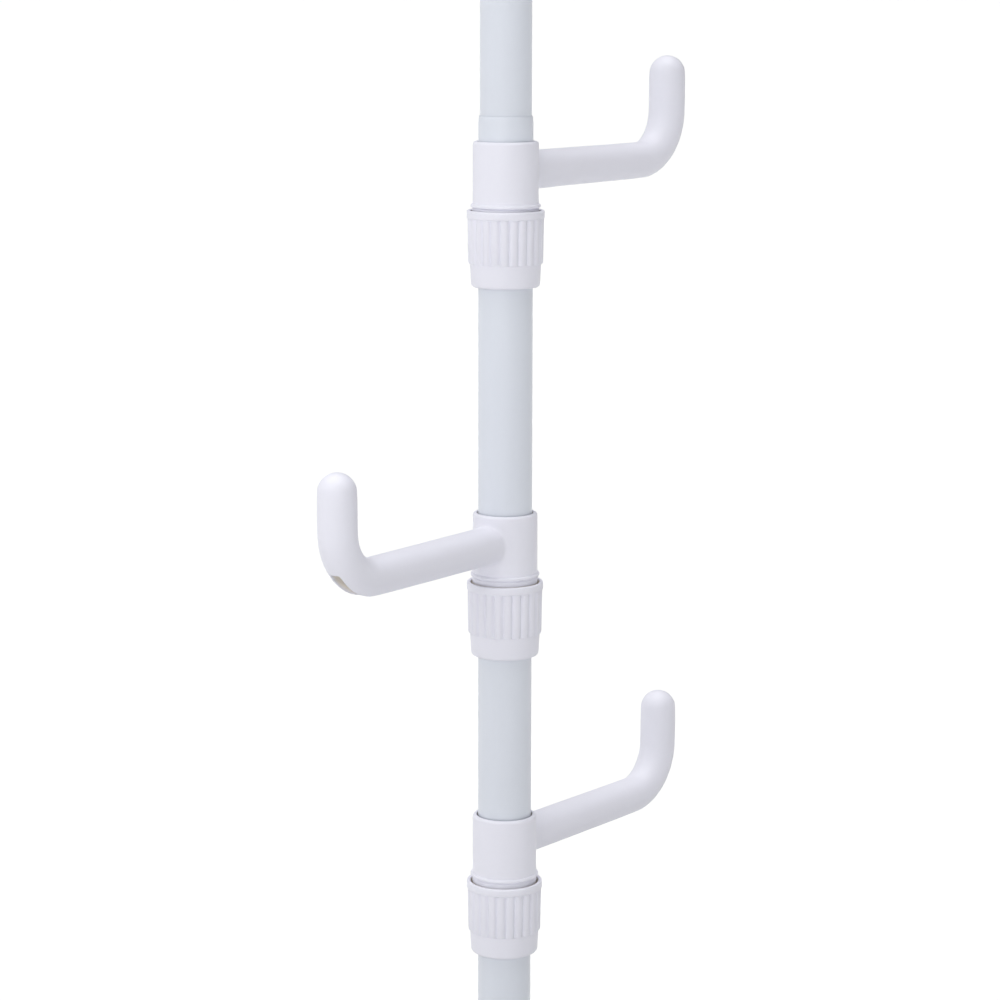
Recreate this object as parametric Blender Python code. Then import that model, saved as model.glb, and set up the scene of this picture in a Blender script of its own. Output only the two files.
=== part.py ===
"""Floor-to-ceiling coat stand: a telescopic pole with three clamp-on hooks.

Metres, +Z up. The origin lies on the floor, on the pole's axis, and the arm of hook_1 points along +X.
"""

import math

import bmesh
import bpy
from mathutils import Matrix, Vector

# Facets
TURNED_SIDES = 28
INNER_SIDES = 20
ARM_SIDES = 16
FILLET_STEPS = 4
BEND_STEPS = 7
TIP_STEPS = 3
SHARP_ANGLE = math.radians(40)
MERGE_DISTANCE = 1e-6
ROUNDING_LIMIT = 0.48

# Clearances
SEAT_GAP = 0.0003
SLIDE_GAP = 0.0002
COLLAR_GAP = 0.0007
CUT_OVERRUN = 0.004

# Pole tubes
TUBE_RADIUS = 0.0140
TUBE_WALL = 0.0006
INNER_TUBE_WALL = 0.0006
LOWER_TUBE_LENGTH = 0.8450
MIDDLE_TUBE_LENGTH = 0.8430
UPPER_TUBE_LENGTH = 1.0400
INSERTED_LENGTH = 0.4000

# Joint between the two outer tubes
JOINT_FLANGE = 0.0020
JOINT_SPIGOT = 0.0450
JOINT_CHAMFER = 0.0015

# Foot and ceiling cup
CUP_RADIUS = 0.0400
CUP_EDGE = 0.0055
CUP_EDGE_ROUND = 0.0030
CUP_SLOPE = 0.0070
CUP_SKIRT = 0.0015
CUP_FLARE = 0.0100
SOCKET_FLOOR = 0.0045
SOCKET_WALL = 0.0030
FOOT_SOCKET_DEPTH = 0.0360
SOCKET_LIP_ROUND = 0.0010
SCREW_SOCKET_WALL = 0.0050
SCREW_SOCKET_DEPTH = 0.0140
PAD_RADIUS = 0.0360
PAD_THICKNESS = 0.0040
PAD_EDGE_ROUND = 0.0010

# Twist lock inside the telescope
PLUG_INSERT = 0.0300
PLUG_FLANGE = 0.0020
JOURNAL_RADIUS = 0.0077
GUIDE_HEIGHT = 0.0120
SPIGOT_RADIUS = 0.0055
ECCENTRICITY = 0.0008
LOCK_TURN = math.radians(45)
CAM_HEIGHT = 0.0140
CAM_WALL_GAP = 0.0008
CAM_SCREW_HEAD_RADIUS = 0.0080
CAM_SCREW_HEAD = 0.0030
CAM_SCREW_HEAD_ROUND = 0.0010
CAM_SCREW_RADIUS = 0.0020
CAM_SCREW_LENGTH = 0.0120

# Jack under the ceiling
BUSH_INSERT = 0.0250
BUSH_FLANGE = 0.0030
SCREW_RADIUS = 0.0060
SCREW_BELOW_TUBE_END = 0.0600
SCREW_CHAMFER = 0.0012
DIAL_RADIUS = 0.0200
DIAL_SKIRT = 0.0140
DIAL_CROWN = 0.0120
DIAL_BAND = 0.0030
DIAL_EDGE_ROUND = 0.0015
DIAL_CORE_DEPTH = 0.0014
DIAL_RIB_OVERLAP = 0.00075
JACK_GAP = 0.0220

# Hook collar, measured down from its rim
COLLAR_RADIUS = 0.01675
COLLAR_RIM_ROUND = 0.0008
BEAD_RADIUS = 0.0183
BEAD_TOP = 0.0318
BEAD_THICKNESS = 0.0016
BEAD_ROUND = 0.0005
BEAD_SLOPE = 0.0008
COLLAR_FLARE = 0.0050
NECK_RADIUS = 0.0165
NECK_LENGTH = 0.0226

# Hook arm
ARM_RADIUS = 0.00985
ARM_DROP = 0.0156
ARM_REACH = 0.13865
BEND_RADIUS = 0.02645
TIP_RISE = 0.04575
ROOT_FILLET = 0.0020
SLOT_WIDTH = 0.0060
SLOT_DEPTH = 0.0120
SLOT_START = 0.0200
SLOT_END_TURN = math.radians(54)

# Grip ring inside the lock nut
GRIP_RADIUS = 0.0162
GRIP_LAND = 0.0020
GRIP_HEIGHT = 0.0130
GRIP_TAPER = 0.00125
GRIP_SPLIT = 0.0020

# Lock nut, measured down from its rim
NUT_RIM_RADIUS = 0.0198
NUT_RIM_BAND = 0.0040
NUT_RIM_ROUND = 0.0006
NUT_MOUTH_RADIUS = 0.0179
NUT_MOUTH_DEPTH = 0.0035
NUT_HEIGHT = 0.0392
NUT_FLOOR = 0.0022
NUT_TAPER_GAP = 0.00045
NUT_SKIRT_TOP_RADIUS = 0.0181
NUT_SKIRT_RADIUS = 0.0175
NUT_BOTTOM_ROUND = 0.0017
RIB_COUNT = 24
RIB_TOP = 0.0030
RIB_BOTTOM = 0.0272
RIB_TOP_RADIUS = 0.0194
RIB_BOTTOM_RADIUS = 0.01905
RIB_DEPTH = 0.0007
RIB_SHARE = 0.74

# Hooks along the pole: rim below the outer tube's end, turn about the pole, and the nut's gap and turn
HOOK_DROPS = (0.01275, 0.20420, 0.36645)
HOOK_TURNS = tuple(math.radians(turn) for turn in (0.0, 183.5, 0.5))
NUT_GAPS = (0.0016, 0.0032, 0.0028)
NUT_TURNS = tuple(math.radians(turn) for turn in (0.0, 2.6, -4.3))

# Sizes that follow from the ones above
TUBE_BORE = TUBE_RADIUS - TUBE_WALL
INNER_TUBE_RADIUS = TUBE_BORE - SLIDE_GAP
INNER_TUBE_BORE = INNER_TUBE_RADIUS - INNER_TUBE_WALL
SOCKET_RADIUS = TUBE_RADIUS + SEAT_GAP
COLLAR_BORE = TUBE_RADIUS + COLLAR_GAP
GRIP_BORE = TUBE_RADIUS + SEAT_GAP
NUT_THREAD_RADIUS = NECK_RADIUS + SEAT_GAP
NUT_BORE = TUBE_RADIUS + COLLAR_GAP
SCREW_HOLE = SCREW_RADIUS + SEAT_GAP
JOURNAL_LENGTH = GUIDE_HEIGHT + 2 * SEAT_GAP
SPIGOT_LENGTH = CAM_HEIGHT + 2 * SEAT_GAP
CAM_RADIUS = TUBE_BORE - CAM_WALL_GAP
NECK_END = BEAD_TOP + BEAD_THICKNESS + NECK_LENGTH
GRIP_TOP = NECK_END + SEAT_GAP
ARM_INNER_END = COLLAR_RADIUS / 2
RIB_PITCH = math.tau / RIB_COUNT
RIB_MIDDLE = RIB_PITCH * RIB_SHARE / 2

# Heights above the floor
SOCKET_FLOOR_HEIGHT = PAD_THICKNESS + SEAT_GAP + SOCKET_FLOOR
LOWER_TUBE_FOOT = SOCKET_FLOOR_HEIGHT + SEAT_GAP
JOINT_HEIGHT = LOWER_TUBE_FOOT + LOWER_TUBE_LENGTH + SEAT_GAP
MIDDLE_TUBE_FOOT = JOINT_HEIGHT + JOINT_FLANGE + SEAT_GAP
OUTER_TUBE_END = MIDDLE_TUBE_FOOT + MIDDLE_TUBE_LENGTH
UPPER_TUBE_FOOT = OUTER_TUBE_END - INSERTED_LENGTH
UPPER_TUBE_END = UPPER_TUBE_FOOT + UPPER_TUBE_LENGTH
DIAL_SEAT = UPPER_TUBE_END + SEAT_GAP + BUSH_FLANGE + SEAT_GAP
CUP_SOCKET_MOUTH = DIAL_SEAT + DIAL_CROWN + JACK_GAP
CEILING_CUP_HEIGHT = SCREW_SOCKET_DEPTH + SOCKET_FLOOR + SEAT_GAP + PAD_THICKNESS
CEILING_HEIGHT = CUP_SOCKET_MOUTH + CEILING_CUP_HEIGHT

# Finishes: colour, roughness, metallic
FINISHES = {
    "painted_steel": ((0.69, 0.72, 0.77, 1.0), 0.38, 0.0),
    "white_plastic": ((0.75, 0.75, 0.80, 1.0), 0.45, 0.0),
    "grey_plastic": ((0.42, 0.43, 0.45, 1.0), 0.55, 0.0),
    "clear_rubber": ((0.62, 0.62, 0.60, 1.0), 0.80, 0.0),
    "zinc_steel": ((0.66, 0.66, 0.64, 1.0), 0.32, 1.0),
}


def clear_scene():
    for old in list(bpy.data.objects):
        bpy.data.objects.remove(old, do_unlink=True)


def outline(*corners):
    """Points of a turned profile from corners (radius, height), (…, rounding) or (…, rounding, steps)."""
    points = []
    for index, corner in enumerate(corners):
        here = Vector(corner[:2])
        if len(corner) == 2:
            points.append(here)
            continue
        rounding = corner[2]
        steps = corner[3] if len(corner) > 3 else 1
        before = Vector(corners[index - 1][:2]) - here
        after = Vector(corners[(index + 1) % len(corners)][:2]) - here
        half_angle = before.angle(after) / 2
        longest = ROUNDING_LIMIT * min(before.length, after.length)
        reach = min(rounding / math.tan(half_angle), longest)
        radius = reach * math.tan(half_angle)
        bisector = (before.normalized() + after.normalized()).normalized()
        centre = here + bisector * radius / math.sin(half_angle)
        start = here + before.normalized() * reach - centre
        end = here + after.normalized() * reach - centre
        sweep = start.angle_signed(end)
        for step in range(steps + 1):
            points.append(centre + Matrix.Rotation(-sweep * step / steps, 2) @ start)
    return points


def turned_mesh(name, points, sides=TURNED_SIDES):
    """A profile of (radius, height) points spun about Z; it is closed unless both ends lie on the axis."""
    shape = bmesh.new()
    verts = [shape.verts.new((point[0], 0.0, point[1])) for point in points]
    edges = [shape.edges.new(pair) for pair in zip(verts, verts[1:])]
    if points[0][0] > 0 or points[-1][0] > 0:
        edges.append(shape.edges.new((verts[-1], verts[0])))
    bmesh.ops.spin(shape, geom=verts + edges, cent=(0, 0, 0), axis=(0, 0, 1), angle=math.tau,
                   steps=sides, use_merge=True)
    return closed_mesh(name, shape)


def closed_mesh(name, shape):
    bmesh.ops.remove_doubles(shape, verts=shape.verts, dist=MERGE_DISTANCE)
    bmesh.ops.recalc_face_normals(shape, faces=shape.faces)
    mesh = bpy.data.meshes.new(name)
    shape.to_mesh(mesh)
    shape.free()
    return mesh


def lofted_mesh(name, rings, peak=None):
    """Closed skin over rings of points, with a flat cap on the first and a cap or a peak on the last."""
    shape = bmesh.new()
    loops = [[shape.verts.new(point) for point in ring] for ring in rings]
    count = len(loops[0])
    for low, high in zip(loops, loops[1:]):
        for index in range(count):
            following = (index + 1) % count
            shape.faces.new((low[index], low[following], high[following], high[index]))
    shape.faces.new(loops[0])
    cap = shape.faces.new(loops[-1])
    if peak:
        centre = bmesh.ops.poke(shape, faces=[cap])["verts"][0]
        centre.co = peak
    return closed_mesh(name, shape)


def prism_mesh(name, points, width):
    """An outline of (x, z) points drawn out along Y, centred on the XZ plane."""
    rings = [[(x, side * width / 2, z) for x, z in points] for side in (-1, 1)]
    return lofted_mesh(name, rings)


def combined_mesh(name, base, *steps):
    """The base mesh after each (operation, mesh) in turn, as one solid."""
    holder = bpy.data.objects.new(name, base)
    bpy.context.collection.objects.link(holder)
    tools = []
    for operation, mesh in steps:
        tool = bpy.data.objects.new(mesh.name, mesh)
        bpy.context.collection.objects.link(tool)
        boolean = holder.modifiers.new(mesh.name, "BOOLEAN")
        boolean.operation = operation
        boolean.solver = "EXACT"
        boolean.object = tool
        tools.append(tool)
    bpy.context.view_layer.update()
    shape = bmesh.new()
    shape.from_object(holder, bpy.context.evaluated_depsgraph_get())
    bmesh.ops.dissolve_degenerate(shape, edges=shape.edges, dist=MERGE_DISTANCE)
    for helper in [holder, *tools]:
        bpy.data.objects.remove(helper, do_unlink=True)
    return closed_mesh(name, shape)


def axis_empty(name, height=0.0, turn=0.0, parent=None):
    """An empty on the pole's axis that carries the pieces of one moving unit."""
    empty = bpy.data.objects.new(name, None)
    bpy.context.collection.objects.link(empty)
    empty.parent = parent
    empty.location.z = height
    empty.rotation_euler.z = turn
    return empty


def add_piece(name, mesh, finish, parent, height=0.0, offset=(0.0, 0.0), turn=0.0):
    """A named sub-part with its own material, on its parent's axis."""
    piece = bpy.data.objects.new(name, mesh)
    bpy.context.collection.objects.link(piece)
    piece.parent = parent
    piece.location = (*offset, height)
    piece.rotation_euler.z = turn
    colour, roughness, metallic = FINISHES[finish]
    material = bpy.data.materials.new(f"{name}_{finish}")
    material.use_nodes = True
    shader = material.node_tree.nodes["Principled BSDF"]
    shader.inputs["Base Color"].default_value = colour
    shader.inputs["Roughness"].default_value = roughness
    shader.inputs["Metallic"].default_value = metallic
    material.diffuse_color = colour
    if not mesh.materials:
        mesh.materials.append(None)
        mesh.shade_smooth()
        mesh.set_sharp_from_angle(angle=SHARP_ANGLE)
    piece.material_slots[0].link = "OBJECT"
    piece.material_slots[0].material = material
    return piece


def tube_mesh(name, radius, wall, length):
    bore = radius - wall
    return turned_mesh(name, outline((radius, 0), (radius, length), (bore, length), (bore, 0)))


def ribbed_mesh(name, bottom, bottom_radius, top, top_radius):
    """A band of broad ribs with narrow grooves, tapering from one radius to another."""
    rings = []
    for height, radius in ((bottom, bottom_radius), (top, top_radius)):
        ring = []
        for rib in range(RIB_COUNT):
            shoulders = (rib * RIB_PITCH, (rib + RIB_SHARE) * RIB_PITCH)
            groove = (rib + (1 + RIB_SHARE) / 2) * RIB_PITCH
            corners = ((shoulders[0], radius), (shoulders[1], radius), (groove, radius - RIB_DEPTH))
            for angle, reach in corners:
                ring.append((reach * math.cos(angle), reach * math.sin(angle), height))
        rings.append(ring)
    return lofted_mesh(name, rings)


def cup_outline(socket_outer, socket_bore, socket_depth):
    """Half section of a moulded cup: a pad recess below, a sloped dish and a socket above."""
    recess = PAD_THICKNESS + SEAT_GAP
    recess_radius = PAD_RADIUS + SEAT_GAP
    floor = recess + SOCKET_FLOOR
    mouth = floor + socket_depth
    return outline(
        (0, recess),
        (recess_radius, recess),
        (recess_radius, CUP_SKIRT),
        (CUP_RADIUS, CUP_SKIRT),
        (CUP_RADIUS, CUP_EDGE, CUP_EDGE_ROUND, 2),
        (socket_outer, CUP_EDGE + CUP_SLOPE, CUP_FLARE, 3),
        (socket_outer, mouth, SOCKET_LIP_ROUND),
        (socket_bore, mouth),
        (socket_bore, floor),
        (0, floor),
    )


def pad_mesh(name):
    """A rubber disc whose outer face, with the rounded edge, lies at height 0."""
    return turned_mesh(name, outline(
        (0, 0), (PAD_RADIUS, 0, PAD_EDGE_ROUND, 2), (PAD_RADIUS, PAD_THICKNESS), (0, PAD_THICKNESS)))


def flipped_mesh(mesh, height):
    """The mesh turned upside down, its zero plane moved up to the given height."""
    mesh.transform(Matrix.Translation((0, 0, height)) @ Matrix.Rotation(math.pi, 4, "X"))
    return mesh


def add_foot(pole):
    section = cup_outline(SOCKET_RADIUS + SOCKET_WALL, SOCKET_RADIUS, FOOT_SOCKET_DEPTH)
    base = turned_mesh("foot_base", section)
    add_piece("foot_base", base, "white_plastic", pole)
    add_piece("foot_pad", pad_mesh("foot_pad"), "clear_rubber", pole)


def add_outer_pole(pole):
    lower = tube_mesh("lower_tube", TUBE_RADIUS, TUBE_WALL, LOWER_TUBE_LENGTH)
    add_piece("lower_tube", lower, "painted_steel", pole, LOWER_TUBE_FOOT)
    spigot = TUBE_BORE - SEAT_GAP
    end = JOINT_FLANGE + JOINT_SPIGOT
    joint = turned_mesh("tube_joint", outline(
        (0, -JOINT_SPIGOT),
        (spigot, -JOINT_SPIGOT, JOINT_CHAMFER),
        (spigot, 0), (TUBE_RADIUS, 0), (TUBE_RADIUS, JOINT_FLANGE), (spigot, JOINT_FLANGE),
        (spigot, end, JOINT_CHAMFER),
        (0, end),
    ))
    add_piece("tube_joint", joint, "grey_plastic", pole, JOINT_HEIGHT)
    middle = tube_mesh("middle_tube", TUBE_RADIUS, TUBE_WALL, MIDDLE_TUBE_LENGTH)
    add_piece("middle_tube", middle, "painted_steel", pole, MIDDLE_TUBE_FOOT)


def end_plug_mesh():
    """Plug in the upper tube's foot: flange, journal and, below them, the eccentric spigot."""
    insert = INNER_TUBE_BORE - SEAT_GAP
    flange_top = -SEAT_GAP
    flange_foot = flange_top - PLUG_FLANGE
    journal_foot = flange_foot - JOURNAL_LENGTH
    spigot_foot = journal_foot - SPIGOT_LENGTH
    body = turned_mesh("plug_body", outline(
        (0, journal_foot), (JOURNAL_RADIUS, journal_foot), (JOURNAL_RADIUS, flange_foot),
        (INNER_TUBE_RADIUS, flange_foot), (INNER_TUBE_RADIUS, flange_top), (insert, flange_top),
        (insert, flange_top + PLUG_INSERT, JOINT_CHAMFER), (0, flange_top + PLUG_INSERT),
    ), INNER_SIDES)
    spigot_top = journal_foot + JOURNAL_LENGTH / 2
    spigot = turned_mesh("plug_spigot", outline(
        (0, spigot_foot), (SPIGOT_RADIUS, spigot_foot), (SPIGOT_RADIUS, spigot_top), (0, spigot_top),
    ), INNER_SIDES)
    hole_radius = CAM_SCREW_RADIUS + SEAT_GAP
    hole_top = spigot_foot + CAM_SCREW_LENGTH
    hole = turned_mesh("plug_hole", outline(
        (0, spigot_foot - CUT_OVERRUN), (hole_radius, spigot_foot - CUT_OVERRUN),
        (hole_radius, hole_top), (0, hole_top)), INNER_SIDES)
    for shifted in (spigot, hole):
        shifted.transform(Matrix.Translation((ECCENTRICITY, 0, 0)))
    return combined_mesh("end_plug", body, ("UNION", spigot), ("DIFFERENCE", hole))


def lock_cam_mesh():
    """Ring whose bore is as far off centre as the spigot, so that a turn of the pole wedges it sideways."""
    body = turned_mesh("cam_body", outline(
        (0, 0), (CAM_RADIUS, 0, JOINT_CHAMFER),
        (CAM_RADIUS, CAM_HEIGHT, JOINT_CHAMFER), (0, CAM_HEIGHT)), INNER_SIDES)
    body.transform(Matrix.Translation((-ECCENTRICITY, 0, 0)))
    bore_radius = SPIGOT_RADIUS + SEAT_GAP
    bore = turned_mesh("cam_bore", outline(
        (0, -CUT_OVERRUN), (bore_radius, -CUT_OVERRUN),
        (bore_radius, CAM_HEIGHT + CUT_OVERRUN), (0, CAM_HEIGHT + CUT_OVERRUN)), INNER_SIDES)
    return combined_mesh("lock_cam", body, ("DIFFERENCE", bore))


def add_twist_lock(upper_pole):
    """Guide ring, plug, cam and screw in the upper tube's foot, with the lock turned tight."""
    flange_foot = -SEAT_GAP - PLUG_FLANGE
    journal_foot = flange_foot - JOURNAL_LENGTH
    spigot_foot = journal_foot - SPIGOT_LENGTH
    spigot_axis = (ECCENTRICITY * math.cos(LOCK_TURN), ECCENTRICITY * math.sin(LOCK_TURN))
    guide_radius = TUBE_BORE - SEAT_GAP
    guide_bore = JOURNAL_RADIUS + SEAT_GAP
    guide = turned_mesh("guide_ring", outline(
        (guide_bore, 0), (guide_radius, 0, JOINT_CHAMFER),
        (guide_radius, GUIDE_HEIGHT, JOINT_CHAMFER), (guide_bore, GUIDE_HEIGHT)), INNER_SIDES)
    add_piece("guide_ring", guide, "grey_plastic", upper_pole, journal_foot + SEAT_GAP)
    add_piece("end_plug", end_plug_mesh(), "grey_plastic", upper_pole, turn=LOCK_TURN)
    add_piece("lock_cam", lock_cam_mesh(), "white_plastic", upper_pole, spigot_foot + SEAT_GAP, spigot_axis)
    head_foot = -SEAT_GAP - CAM_SCREW_HEAD
    screw = turned_mesh("cam_screw", outline(
        (0, head_foot), (CAM_SCREW_HEAD_RADIUS, head_foot, CAM_SCREW_HEAD_ROUND, 2),
        (CAM_SCREW_HEAD_RADIUS, -SEAT_GAP), (CAM_SCREW_RADIUS, -SEAT_GAP),
        (CAM_SCREW_RADIUS, CAM_SCREW_LENGTH - SEAT_GAP), (0, CAM_SCREW_LENGTH - SEAT_GAP)), INNER_SIDES)
    add_piece("cam_screw", screw, "zinc_steel", upper_pole, spigot_foot, spigot_axis)


def dial_mesh():
    """Ribbed hand nut: a skirt round the tube's end, a web on the bush and a bore for the screw.

    Its bands have a side to each rib, with their corners over the ribs' middles.
    """
    foot = -SEAT_GAP - BUSH_FLANGE - SEAT_GAP - DIAL_SKIRT
    core_radius = DIAL_RADIUS - DIAL_CORE_DEPTH
    body = turned_mesh("dial_body", outline(
        (0, foot), (DIAL_RADIUS, foot, DIAL_EDGE_ROUND, 2), (DIAL_RADIUS, foot + DIAL_BAND),
        (core_radius, foot + DIAL_BAND), (core_radius, DIAL_CROWN - DIAL_BAND),
        (DIAL_RADIUS, DIAL_CROWN - DIAL_BAND), (DIAL_RADIUS, DIAL_CROWN, DIAL_EDGE_ROUND, 2),
        (0, DIAL_CROWN),
    ), RIB_COUNT)
    body.transform(Matrix.Rotation(RIB_MIDDLE, 4, "Z"))
    rib_radius = DIAL_RADIUS - RIB_DEPTH / 2
    ribs_foot = foot + DIAL_BAND - DIAL_RIB_OVERLAP
    ribs_top = DIAL_CROWN - DIAL_BAND + DIAL_RIB_OVERLAP
    ribs = ribbed_mesh("dial_ribs", ribs_foot, rib_radius, ribs_top, rib_radius)
    skirt_bore = INNER_TUBE_RADIUS + SEAT_GAP
    cutter = turned_mesh("dial_bore", outline(
        (0, foot - CUT_OVERRUN), (skirt_bore, foot - CUT_OVERRUN), (skirt_bore, 0),
        (SCREW_HOLE, 0), (SCREW_HOLE, DIAL_CROWN + CUT_OVERRUN), (0, DIAL_CROWN + CUT_OVERRUN),
    ), INNER_SIDES)
    return combined_mesh("jack_dial", body, ("UNION", ribs), ("DIFFERENCE", cutter))


def add_upper_pole(pole):
    upper_pole = axis_empty("upper_pole_axis", UPPER_TUBE_FOOT, parent=pole)
    tube = tube_mesh("upper_tube", INNER_TUBE_RADIUS, INNER_TUBE_WALL, UPPER_TUBE_LENGTH)
    add_piece("upper_tube", tube, "painted_steel", upper_pole)
    add_twist_lock(upper_pole)
    insert = INNER_TUBE_BORE - SEAT_GAP
    bush = turned_mesh("top_bush", outline(
        (SCREW_HOLE, -BUSH_INSERT), (insert, -BUSH_INSERT, JOINT_CHAMFER), (insert, SEAT_GAP),
        (INNER_TUBE_RADIUS, SEAT_GAP), (INNER_TUBE_RADIUS, SEAT_GAP + BUSH_FLANGE),
        (SCREW_HOLE, SEAT_GAP + BUSH_FLANGE)), INNER_SIDES)
    add_piece("top_bush", bush, "grey_plastic", upper_pole, UPPER_TUBE_LENGTH)
    jack = axis_empty("jack_axis", UPPER_TUBE_LENGTH, parent=upper_pole)
    add_jack(jack)


def add_jack(jack):
    """Dial, screw, cup and pad that press the pole against the ceiling."""
    dial_seat = DIAL_SEAT - UPPER_TUBE_END
    mouth = CUP_SOCKET_MOUTH - UPPER_TUBE_END
    top = CEILING_HEIGHT - UPPER_TUBE_END
    add_piece("jack_dial", dial_mesh(), "white_plastic", jack, dial_seat)
    screw_end = mouth + SCREW_SOCKET_DEPTH - SEAT_GAP
    screw = turned_mesh("jack_screw", outline(
        (0, -SCREW_BELOW_TUBE_END), (SCREW_RADIUS, -SCREW_BELOW_TUBE_END, SCREW_CHAMFER),
        (SCREW_RADIUS, screw_end, SCREW_CHAMFER), (0, screw_end)), INNER_SIDES)
    add_piece("jack_screw", screw, "zinc_steel", jack)
    section = cup_outline(SCREW_HOLE + SCREW_SOCKET_WALL, SCREW_HOLE, SCREW_SOCKET_DEPTH)
    cup = turned_mesh("ceiling_cup", section)
    add_piece("ceiling_cup", flipped_mesh(cup, CEILING_CUP_HEIGHT), "white_plastic", jack, mouth)
    add_piece("ceiling_pad", flipped_mesh(pad_mesh("ceiling_pad"), 0.0), "clear_rubber", jack, top)


def arm_stations():
    """Sections along the arm as (reach, rise, turn, flare): root fillet, bend and rounded tip."""
    stations = []
    for step in range(1, FILLET_STEPS + 1):
        angle = step / FILLET_STEPS * math.pi / 2
        stand_off = ROOT_FILLET * (1 - math.cos(angle))
        stations.append((COLLAR_RADIUS + stand_off, 0.0, 0.0, ROOT_FILLET * (1 - math.sin(angle))))
    straight = ARM_REACH - BEND_RADIUS
    for step in range(BEND_STEPS + 1):
        turn = step / BEND_STEPS * math.pi / 2
        reach = straight + BEND_RADIUS * math.sin(turn)
        stations.append((reach, BEND_RADIUS * (1 - math.cos(turn)), turn, 0.0))
    for step in range(TIP_STEPS):
        angle = step / TIP_STEPS * math.pi / 2
        rise = TIP_RISE + ARM_RADIUS * math.sin(angle)
        stations.append((ARM_REACH, rise, math.pi / 2, ARM_RADIUS * (math.cos(angle) - 1)))
    return [(ARM_INNER_END, 0.0, 0.0, ROOT_FILLET), *stations]


def arm_rings():
    """Rings of the arm's skin; those of the root lie back with the round of the collar."""
    rings = []
    for reach, rise, turn, flare in arm_stations():
        ring = []
        radius = ARM_RADIUS + flare
        at_root = reach <= COLLAR_RADIUS + ROOT_FILLET
        for side in range(ARM_SIDES):
            angle = (side + 0.5) / ARM_SIDES * math.tau
            across = radius * math.cos(angle)
            lift = radius * math.sin(angle)
            lie_back = COLLAR_RADIUS - math.sqrt(COLLAR_RADIUS ** 2 - across ** 2) if at_root else 0.0
            x = reach - lie_back - lift * math.sin(turn)
            ring.append((x, across, rise + lift * math.cos(turn) - ARM_DROP))
        rings.append(ring)
    return rings


def slot_outline():
    """Side view of the core slot: along the arm's underside, then up the outside of the bend."""
    straight = ARM_REACH - BEND_RADIUS
    start = COLLAR_RADIUS + SLOT_START
    inner = BEND_RADIUS + ARM_RADIUS - SLOT_DEPTH
    outer = BEND_RADIUS + ARM_RADIUS + CUT_OVERRUN
    points = [(start, BEND_RADIUS - ARM_DROP - inner), (start, BEND_RADIUS - ARM_DROP - outer)]
    for radius, order in ((outer, range(BEND_STEPS)), (inner, reversed(range(BEND_STEPS)))):
        for step in order:
            turn = step / (BEND_STEPS - 1) * SLOT_END_TURN
            points.append((straight + radius * math.sin(turn),
                           BEND_RADIUS - radius * math.cos(turn) - ARM_DROP))
    return points


def hook_mesh():
    """Collar and arm in one moulding: bored for the pole, cored from below, threaded neck under a bead."""
    flare_foot = BEAD_TOP - BEAD_SLOPE
    bead_foot = BEAD_TOP + BEAD_THICKNESS
    collar = turned_mesh("collar", outline(
        (0, 0), (COLLAR_RADIUS, 0, COLLAR_RIM_ROUND, 2), (COLLAR_RADIUS, -flare_foot, COLLAR_FLARE, 3),
        (BEAD_RADIUS, -BEAD_TOP, BEAD_ROUND), (BEAD_RADIUS, -bead_foot, BEAD_ROUND),
        (NECK_RADIUS, -bead_foot), (NECK_RADIUS, -NECK_END), (0, -NECK_END),
    ))
    bore = turned_mesh("collar_bore", outline(
        (0, CUT_OVERRUN), (COLLAR_BORE, CUT_OVERRUN),
        (COLLAR_BORE, -NECK_END - CUT_OVERRUN), (0, -NECK_END - CUT_OVERRUN)))
    arm = lofted_mesh("arm", arm_rings(), peak=(ARM_REACH, 0, TIP_RISE + ARM_RADIUS - ARM_DROP))
    slot = prism_mesh("slot", slot_outline(), SLOT_WIDTH)
    return combined_mesh("hook", collar, ("UNION", arm), ("DIFFERENCE", bore), ("DIFFERENCE", slot))


def grip_ring_mesh():
    """Split ring with an outside taper, squeezed on to the pole as the nut is drawn up."""
    ring = turned_mesh("grip_body", outline(
        (GRIP_BORE, 0), (GRIP_RADIUS, 0), (GRIP_RADIUS, -GRIP_LAND),
        (GRIP_RADIUS - GRIP_TAPER, -GRIP_HEIGHT), (GRIP_BORE, -GRIP_HEIGHT)))
    middle = (GRIP_BORE + GRIP_RADIUS) / 2
    reach = GRIP_RADIUS - GRIP_BORE
    ends = (middle - reach, middle + reach)
    split = prism_mesh("grip_split", (
        (ends[0], CUT_OVERRUN), (ends[1], CUT_OVERRUN),
        (ends[1], -GRIP_HEIGHT - CUT_OVERRUN), (ends[0], -GRIP_HEIGHT - CUT_OVERRUN)), GRIP_SPLIT)
    return combined_mesh("grip_ring", ring, ("DIFFERENCE", split))


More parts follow.
